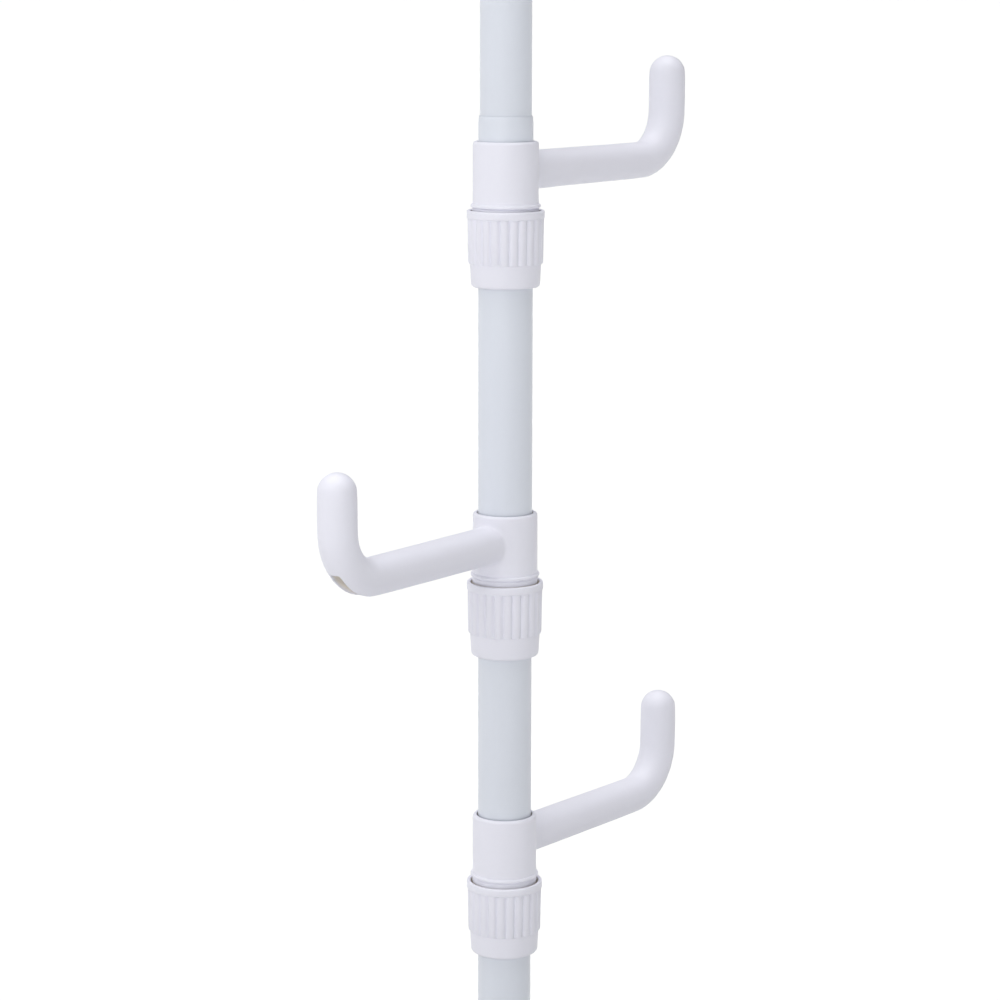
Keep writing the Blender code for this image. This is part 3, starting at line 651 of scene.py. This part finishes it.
print("collar faces:", len(bmesh.from_edit_mesh(hook.data).faces))

# %% [markdown]
# The arm is one circle, extruded straight out, spun a quarter turn for the bend, extruded
# up and closed with a half ball. It is a little thicker at its root, where it carries most.
# Its inner ring is bridged to the fillet. To save plastic and keep the arm from sinking in
# the mould, its underside is cored out by a slot: those faces are pushed in, and the lips
# get a small round.

# %% Arm and core slot
ARM_RADIUS = 9.85 * MM
ARM_START = 22.0 * MM
ARM_REACH = 138.65 * MM
BEND_RADIUS = 26.45 * MM
BEND_STEPS = 10
TIP_RISE = 45.75 * MM
BALL_STEPS = 6
SLOT_START = 36.75 * MM
SLOT_DEPTH = 12.0 * MM
SLOT_HALF = math.radians(18)
SLOT_END_TURN = math.radians(54)
SLOT_LIP = 0.35 * MM
UNDERSIDE_SHARE = 0.9
straight_end = ARM_REACH - BEND_RADIUS
bend_centre = Vector((straight_end, 0, BEND_RADIUS - ARM_DROP))


def arm_radius(out):
    """The arm's radius at a distance from the pole's axis, up to the bend."""
    share = (out - ARM_START) / (straight_end - ARM_START)
    return ARM_ROOT_RADIUS + share * (ARM_RADIUS - ARM_ROOT_RADIUS)


bpy.ops.mesh.select_all(action="DESELECT")
bpy.ops.mesh.primitive_circle_add(vertices=COLLAR_COLUMNS, radius=ARM_ROOT_RADIUS,
                                  location=(ARM_START, 0, -ARM_DROP), rotation=(0, math.pi / 2, 0))
for start, end in ((ARM_START, SLOT_START), (SLOT_START, straight_end)):
    bpy.ops.mesh.extrude_region_move(TRANSFORM_OT_translate={"value": (end - start, 0, 0)})
    share = arm_radius(end) / arm_radius(start)
    bpy.ops.transform.resize(value=(1, share, share), center_override=(end, 0, -ARM_DROP))
bpy.ops.mesh.spin(steps=BEND_STEPS, angle=math.pi / 2, center=bend_centre, axis=(0, 1, 0))
bpy.ops.mesh.extrude_region_move(TRANSFORM_OT_translate={"value": (0, 0, TIP_RISE - BEND_RADIUS)})
ball_centre = Vector((ARM_REACH, 0, TIP_RISE - ARM_DROP))
for step in range(1, BALL_STEPS):
    before, after = (angle * math.pi / 2 / BALL_STEPS for angle in (step - 1, step))
    rise = ARM_RADIUS * (math.sin(after) - math.sin(before))
    bpy.ops.mesh.extrude_region_move(TRANSFORM_OT_translate={"value": (0, 0, rise)})
    share = math.cos(after) / math.cos(before)
    bpy.ops.transform.resize(value=(share, share, 1), center_override=ball_centre)
bpy.ops.mesh.extrude_region_move(
    TRANSFORM_OT_translate={"value": (0, 0, ARM_RADIUS * (1 - math.sin(after)))})
bpy.ops.mesh.merge(type="CENTER")
open_edges(hook)
bpy.ops.mesh.bridge_edge_loops()
tip = max(vert.co.z for vert in bmesh.from_edit_mesh(hook.data).verts)
print("arm: tip", round(tip / MM, 2), "mm above the rim")


def below_axis(place):
    """How far a point lies below the arm's axis, and how far round the bend it is."""
    out = place - bend_centre
    if out.x < 0:
        return -place.z - ARM_DROP, 0.0
    return math.hypot(out.x, out.z) - BEND_RADIUS, math.atan2(out.x, -out.z)


def under_arm(face):
    """Whether a face lies on the strip of the underside that the slot takes up."""
    place = face.calc_center_median()
    drop, turn = below_axis(place)
    return (place.x > SLOT_START and turn < SLOT_END_TURN and drop > UNDERSIDE_SHARE * ARM_RADIUS
            and abs(place.y) < ARM_RADIUS * math.sin(SLOT_HALF))


choose(hook, "faces", under_arm)
bpy.ops.mesh.region_to_loop()
bpy.ops.mesh.mark_seam(clear=False)
choose(hook, "faces", under_arm)
print("slot faces:", sum(face.select for face in bmesh.from_edit_mesh(hook.data).faces))
bpy.ops.mesh.extrude_region_move(TRANSFORM_OT_translate={"value": (0, 0, SLOT_DEPTH)})
choose(hook, "verts", lambda vert: vert.select and vert.co.x > straight_end + NEAR)
bpy.ops.transform.translate(value=(0, 0, -SLOT_DEPTH))
share = 1 - SLOT_DEPTH / (BEND_RADIUS + ARM_RADIUS)
bpy.ops.transform.resize(value=(share, 1, share), center_override=bend_centre)
choose(hook, "edges", lambda edge: edge.seam)
bpy.ops.mesh.bevel(offset=SLOT_LIP, segments=2, affect="EDGES")

bpy.ops.mesh.select_all(action="SELECT")
bpy.ops.mesh.normals_make_consistent(inside=False)
bpy.ops.object.mode_set(mode="OBJECT")
smooth = hook.modifiers.new("smooth", "SUBSURF")
smooth.levels = 1
smooth.render_levels = 1
bpy.ops.object.modifier_apply(modifier=smooth.name)
print("hook faces:", len(hook.data.polygons))

# %% [markdown]
# The recessed places, floor and walls of the slot, the bore, and the neck inside the nut, are
# written on to the mesh as a point attribute, so that the finish can give them dust and painted shade.
# The pattern is then copied for each hook, turned and lifted to where the frame has it.

# %% Three hooks
HOOK_TURNS = (0.0, 183.5, 0.5)
# Margin that sets where the dust and painted shade begin on the neck and in the slot.
DUST_AND_SHADE_MARGIN = 0.6 * MM


def in_hook_dust_and_shade(place):
    """Whether a point lies inside the slot, in the bore or on the hidden part of the neck, where dust
    and painted shade go.
    """
    reach = math.hypot(place.x, place.y)
    if reach < COLLAR_RADIUS:
        return place.z < BAND_FOOT + DUST_AND_SHADE_MARGIN or reach < BORE + NEAR
    drop, turn = below_axis(place)
    return (place.x > SLOT_START - NEAR and turn < SLOT_END_TURN
            and abs(place.y) < ARM_RADIUS * math.sin(SLOT_HALF) + SLOT_LIP
            and ARM_RADIUS - SLOT_DEPTH - DUST_AND_SHADE_MARGIN < drop
            and math.hypot(place.y, drop) < ARM_RADIUS - DUST_AND_SHADE_MARGIN)


def mark_dust_and_shade(piece, gets_dust_and_shade):
    """Write on to each vertex whether it gets dust and painted shade."""
    dust_and_shade = piece.data.attributes.new("dust_and_shade", "FLOAT", "POINT")
    for vert in piece.data.vertices:
        dust_and_shade.data[vert.index].value = float(gets_dust_and_shade(vert.co))


mark_dust_and_shade(hook, in_hook_dust_and_shade)


def place_copy(pattern, name, turn, height):
    """A copy with its own mesh, turned round the pole and lifted, with its place in its mesh."""
    bpy.ops.object.select_all(action="DESELECT")
    pattern.select_set(True)
    bpy.context.view_layer.objects.active = pattern
    bpy.ops.object.duplicate(linked=False)
    copy = bpy.context.active_object
    copy.name = name
    copy.data.name = name
    copy.rotation_euler.z = math.radians(turn)
    copy.location.z = height
    bpy.ops.object.transform_apply(location=True, rotation=True, scale=False)
    return copy


for number, turn in enumerate(HOOK_TURNS, 1):
    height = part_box(f"hook_{number}")[0].z - NECK_END
    copy = place_copy(hook, f"hook_{number}_moulded", turn, height)
    finish_piece(copy, "white_plastic", f"hook_{number}", f"hook_{number}", sharp=60)
bpy.data.objects.remove(hook)

# %% [markdown]
# ## The ribbed nuts
# The nut screws up the neck and squeezes a split ring on to the pole. Its grip is a row of
# broad ribs with narrow grooves between a smooth band and a smooth skirt. The nut is drawn
# as rings with ten columns to each rib. Then the columns near every groove are scaled in
# towards the axis by a bell curve, which leaves the ribs a little round. Each corner of the
# profile has a name, so that a round can be asked for where it belongs.

# %% Nut
RIBS = 24
COLUMNS_PER_RIB = 10
RIB_GROOVE_DEPTH = 1.1 * MM
RIB_GROOVE_COLUMNS = 1.7
NUT_EDGE_ROUND = 0.7 * MM
NUT_FINE_ROUND = 0.3 * MM
NUT_FOOT_ROUND = 1.7 * MM
NUT_PROFILE = {
    "mouth": (17.9, 0.0), "rim": (19.95, 0.0), "band_foot": (19.95, -4.0),
    "rib_top": (19.55, -4.15), "rib_foot": (19.2, -26.5), "rib_end": (18.9, -27.2),
    "skirt_top": (18.22, -27.2), "skirt_foot": (17.62, -39.2),
    "bore_foot": (14.7, -39.2), "bore_top": (14.7, -37.0),
    "taper_foot": (15.09, -37.0), "taper_top": (16.65, -23.3),
    "thread_foot": (16.8, -23.3), "thread_top": (16.8, -3.5), "mouth_floor": (17.9, -3.5),
}


def set_profile(profile, foot=0.0):
    """Corners given in millimetres, in metres and lifted to a height."""
    return {name: (radius * MM, foot + height * MM) for name, (radius, height) in profile.items()}


def columns_away(vert):
    """How many columns a vertex is from the middle of the nearest groove."""
    turn = math.atan2(vert.co.y, vert.co.x) / math.tau * RIBS * COLUMNS_PER_RIB
    column = round(turn) % COLUMNS_PER_RIB
    return min(column, COLUMNS_PER_RIB - column)


def press_grooves(piece, *rows):
    """Scale the columns round each groove towards the axis, in the given (radius, height) rows."""
    for away in range(COLUMNS_PER_RIB // 2):
        depth = RIB_GROOVE_DEPTH * math.exp(-(away / RIB_GROOVE_COLUMNS) ** 2)
        for radius, height in rows:
            choose(piece, "verts",
                   lambda vert: columns_away(vert) == away and at_corner(vert, radius, height))
            share = 1 - depth / radius
            bpy.ops.transform.resize(value=(share, share, 1), center_override=(0, 0, 0))


corners = set_profile(NUT_PROFILE)
nut = add_ring("nut_pattern", RIBS * COLUMNS_PER_RIB, *corners["mouth"])
draw_rings(list(corners.values()))
close_tube(nut)
press_grooves(nut, corners["rib_top"], corners["rib_foot"], corners["rib_end"])
soften(nut, NUT_EDGE_ROUND, 3, corners["rim"], corners["mouth"])
soften(nut, NUT_FINE_ROUND, 2, corners["band_foot"], corners["bore_foot"])
soften(nut, NUT_FOOT_ROUND, 4, corners["skirt_foot"])
bpy.ops.object.mode_set(mode="OBJECT")
mouth_radius, mouth_floor = corners["mouth_floor"]
# The wall of the nut's mouth down to its floor gets dust and painted shade.
mark_dust_and_shade(nut, lambda place: (place.xy.length < mouth_radius + NEAR
                                 and mouth_floor - NEAR < place.z < -NEAR))
print("nut faces:", len(nut.data.polygons))

# %% Three nuts
NUT_TURNS = (0.0, 2.6, -4.3)

for number, (hook_turn, nut_turn) in enumerate(zip(HOOK_TURNS, NUT_TURNS), 1):
    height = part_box(f"lock_nut_{number}")[1].z
    copy = place_copy(nut, f"lock_nut_{number}_moulded", hook_turn + nut_turn, height)
    finish_piece(copy, "white_plastic", f"lock_nut_{number}", f"lock_nut_{number}", sharp=40)
bpy.data.objects.remove(nut)

# %% [markdown]
# ## Foot and ceiling cup
# The pole stands in a socket on a wide, slightly sloping dish, and a smaller one at the
# ceiling takes the jack screw. Both are turned from the same profile, upside down for the
# ceiling: recess for the pad, skirt, dish, socket wall, socket floor.

# %% Foot and ceiling cup
CUP_RADIUS = 40.0 * MM
SKIRT_HEIGHT = 4.0 * MM
SKIRT_ROUND = 3.0 * MM
DISH_RISE = 7.0 * MM
DISH_FLARE = 7.0 * MM
RECESS_RADIUS = 36.3 * MM
RECESS_DEPTH = 2.8 * MM
SOCKET_FLOOR = 4.5 * MM
LIP_ROUND = 1.0 * MM
EDGE_ROUND = 0.4 * MM


def make_cup(name, node, body, socket, wall, depth, mouth, way):
    """A dish with a socket whose mouth is at a height and looks up (way 1) or down (way -1)."""
    recess_down = depth + SOCKET_FLOOR
    foot_down = recess_down + RECESS_DEPTH
    skirt_down = foot_down - SKIRT_HEIGHT
    recess_top = (RECESS_RADIUS, mouth - way * recess_down)
    recess_edge = (RECESS_RADIUS, mouth - way * foot_down)
    foot_edge = (CUP_RADIUS, mouth - way * foot_down)
    skirt_top = (CUP_RADIUS, mouth - way * skirt_down)
    dish_top = (socket + wall, mouth - way * (skirt_down - DISH_RISE))
    lip = (socket + wall, mouth)
    bore_edge = (socket, mouth)
    bore_floor = (socket, mouth - way * depth)
    piece = add_ring(name, TUBE_SIDES, *recess_top)
    draw_rings((recess_top, recess_edge, foot_edge, skirt_top, dish_top, lip, bore_edge, bore_floor))
    close_ends(piece)
    soften(piece, SKIRT_ROUND, 5, skirt_top)
    soften(piece, EDGE_ROUND, 2, foot_edge, bore_edge)
    soften(piece, LIP_ROUND, 3, lip)
    soften(piece, DISH_FLARE, 6, dish_top)
    return finish_piece(piece, "white_plastic", body, node)


make_cup("foot_moulded", "foot_base", "pole", socket=14.3 * MM, wall=3.0 * MM, depth=36.0 * MM,
         mouth=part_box("foot_base")[1].z, way=1)
make_cup("ceiling_cup_moulded", "ceiling_cup", "ceiling_jack", socket=6.3 * MM, wall=5.0 * MM,
         depth=14.0 * MM, mouth=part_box("ceiling_cup")[0].z, way=-1)

# %% [markdown]
# ## The pads
# A rubber pad keeps the foot from sliding, and one like it presses on the ceiling. Moulded
# pads have rings of fine grooves, so that they give and grip. The grooves are part of the
# same profile, drawn inwards across the face.

# %% Pads
PAD_RADIUS = 36.0 * MM
PAD_THICKNESS = 4.0 * MM
PAD_ROUND = 1.0 * MM
PAD_CENTRE = 6.0 * MM
PAD_GROOVES = 4
OUTER_PAD_GROOVE = 31.0 * MM
PAD_GROOVE_SPACING = 6.0 * MM
PAD_GROOVE_MOUTH = 2.0 * MM
PAD_GROOVE_FLOOR = 1.2 * MM
PAD_GROOVE_DEPTH = 0.9 * MM


def make_pad(name, node, body, face, way):
    """A pad whose face is at a height, with its back above (way 1) or below (way -1)."""
    section = [(PAD_RADIUS, face + way * PAD_THICKNESS), (PAD_RADIUS, face)]
    for number in range(PAD_GROOVES):
        groove = OUTER_PAD_GROOVE - number * PAD_GROOVE_SPACING
        floor_height = face + way * PAD_GROOVE_DEPTH
        section += [(groove + PAD_GROOVE_MOUTH / 2, face), (groove + PAD_GROOVE_FLOOR / 2, floor_height),
                    (groove - PAD_GROOVE_FLOOR / 2, floor_height), (groove - PAD_GROOVE_MOUTH / 2, face)]
    section.append((PAD_CENTRE, face))
    piece = add_ring(name, TUBE_SIDES, *section[0])
    draw_rings(section)
    close_ends(piece)
    soften(piece, PAD_ROUND, 3, (PAD_RADIUS, face))
    return finish_piece(piece, "pad_rubber", body, node)


make_pad("foot_pad_moulded", "foot_pad", "pole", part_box("foot_pad")[0].z, 1)
make_pad("ceiling_pad_moulded", "ceiling_pad", "ceiling_jack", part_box("ceiling_pad")[1].z, -1)

# %% [markdown]
# ## The jack's dial
# The dial is turned by hand to press the pole against the ceiling. It has the nuts' ribs
# between two smooth bands, a skirt that hangs over the tube's end, and a bore for the
# screw, so the nut's own tool presses its grooves.

# %% Dial
DIAL_EDGE_ROUND = 1.5 * MM
DIAL_BAND_ROUND = 0.2 * MM
DIAL_BORE_ROUND = 0.5 * MM
DIAL_PROFILE = {
    "shoulder": (13.5, 17.6), "skirt_edge": (13.5, 0.0), "foot": (20.0, 0.0),
    "band_top": (20.0, 3.0), "rib_foot": (19.65, 3.2), "rib_top": (19.65, 26.4),
    "band_foot": (20.0, 26.6), "crown": (20.0, 29.6),
    "screw_mouth": (6.3, 29.6), "screw_foot": (6.3, 17.6),
}
corners = set_profile(DIAL_PROFILE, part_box("jack_dial")[0].z)
dial = add_ring("jack_dial_moulded", RIBS * COLUMNS_PER_RIB, *corners["shoulder"])
draw_rings(list(corners.values()))
close_tube(dial)
press_grooves(dial, corners["rib_foot"], corners["rib_top"])
soften(dial, DIAL_EDGE_ROUND, 4, corners["foot"], corners["crown"])
soften(dial, DIAL_BAND_ROUND, 2, corners["band_top"], corners["band_foot"])
soften(dial, DIAL_BORE_ROUND, 2, corners["skirt_edge"], corners["screw_mouth"])
finish_piece(dial, "white_plastic", "jack_dial", "jack_dial", sharp=40)

# %% [markdown]
# ## The jack's screw
# The screw has a coarse rolled thread, one groove four millimetres a turn. A single corner
# of a plane is kept and drawn through one turn's section, then the Screw modifier winds it
# up the axis. Two cuts with bisect give it flat ends at the frame's heights.

# %% Screw
THREAD_PITCH = 4.0 * MM
THREAD_SECTION = ((4.7, 0.0), (4.7, 0.9), (6.0, 1.6), (6.0, 2.6), (4.7, 3.3), (4.7, 4.0))
THREAD_STEPS = 32
PLANE_SIZE = 2.0
low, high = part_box("jack_screw")
section = [(radius * MM, low.z - THREAD_PITCH + height * MM) for radius, height in THREAD_SECTION]
bpy.ops.object.select_all(action="DESELECT")
bpy.ops.mesh.primitive_plane_add(size=PLANE_SIZE)
screw = bpy.context.active_object
screw.name = "jack_screw_threaded"
bpy.ops.object.mode_set(mode="EDIT")
choose(screw, "verts", lambda vert: vert.co.x < 0 or vert.co.y < 0)
bpy.ops.mesh.delete(type="VERT")
choose(screw, "verts", lambda vert: True)
bpy.ops.transform.translate(value=(section[0][0] - PLANE_SIZE / 2, -PLANE_SIZE / 2, section[0][1]))
for (radius, height), (next_radius, next_height) in zip(section, section[1:]):
    bpy.ops.mesh.extrude_region_move(
        TRANSFORM_OT_translate={"value": (next_radius - radius, 0, next_height - height)})
bpy.ops.object.mode_set(mode="OBJECT")
wind = screw.modifiers.new("wind", "SCREW")
wind.axis = "Z"
wind.screw_offset = THREAD_PITCH
wind.iterations = math.ceil((high.z - low.z) / THREAD_PITCH) + 2
wind.steps = THREAD_STEPS
wind.render_steps = THREAD_STEPS
bpy.ops.object.modifier_apply(modifier=wind.name)
bpy.ops.object.mode_set(mode="EDIT")
bpy.ops.mesh.select_all(action="SELECT")
bpy.ops.mesh.remove_doubles(threshold=NEAR)
for height, way in ((low.z, -1), (high.z, 1)):
    bpy.ops.mesh.select_all(action="SELECT")
    bpy.ops.mesh.bisect(plane_co=(0, 0, height), plane_no=(0, 0, way),
                        use_fill=True, clear_outer=True)
finish_piece(screw, "zinc_steel", "ceiling_jack", "jack_screw", sharp=30)

# %% [markdown]
# ## Pieces kept from the frame
# The twist lock, the bush and the split rings sit inside the tubes and nuts. Their shape is
# right as it is, so they only get the finishes that were made here.

# %% Kept pieces
for name in ("guide_ring", "end_plug", "lock_cam", "cam_screw", "top_bush",
             "grip_ring_1", "grip_ring_2", "grip_ring_3"):
    for slot in nodes[name].material_slots:
        slot.material = FINISHES[slot.material.name]
    print(name, [slot.material.name for slot in nodes[name].material_slots])
